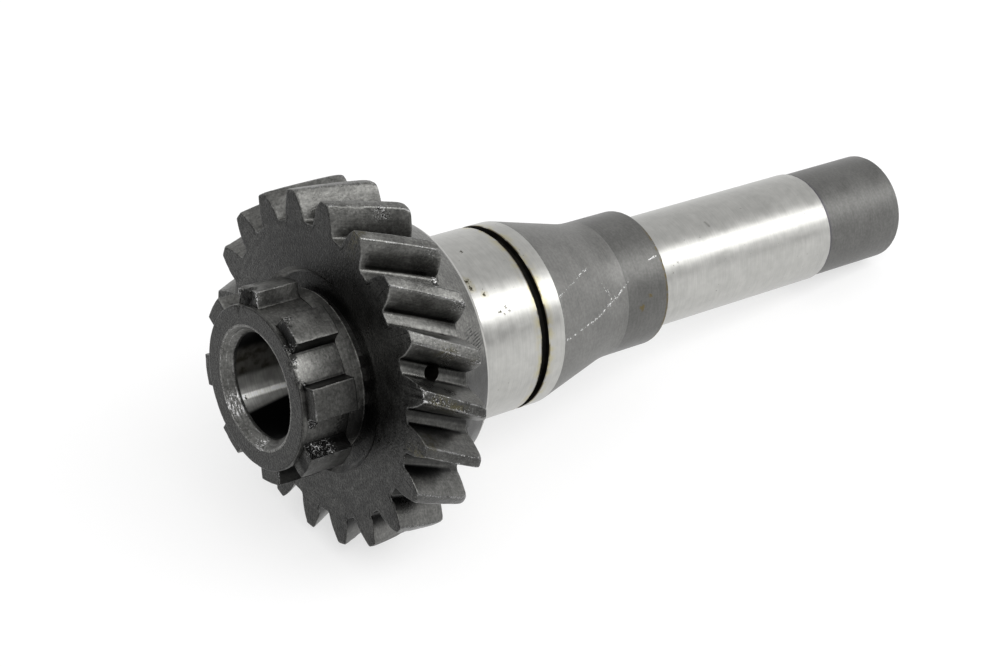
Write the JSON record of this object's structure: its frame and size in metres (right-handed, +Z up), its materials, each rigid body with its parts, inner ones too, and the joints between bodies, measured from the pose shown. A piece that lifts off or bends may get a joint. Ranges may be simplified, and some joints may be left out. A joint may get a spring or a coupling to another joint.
{
  "type": "transmission shaft",
  "caption": "Gearbox input shaft: hub with clutch dogs and pilot bore, helical gear, bearing seat with snap ring groove, tapered neck, collar and ground journal.",
  "frame": {"origin": "on the shaft's axis, in the middle of the bearing seat", "axes": "+Z is up with the shaft lying at rest on two gear teeth and the rim of its tail; the axis lies in the XZ plane and runs from the hub towards the tail, 9.899 degrees below +X; +Y is level across the shaft"},
  "size_m": [0.1743, 0.0744, 0.0756],
  "materials": {
    "steel": "case-hardened steel, dark satin on gear and hub, bright ground on the journals"
  },
  "bodies": {
    "root": {"transmission_shaft": "steel"}
  },
  "joints": []
}
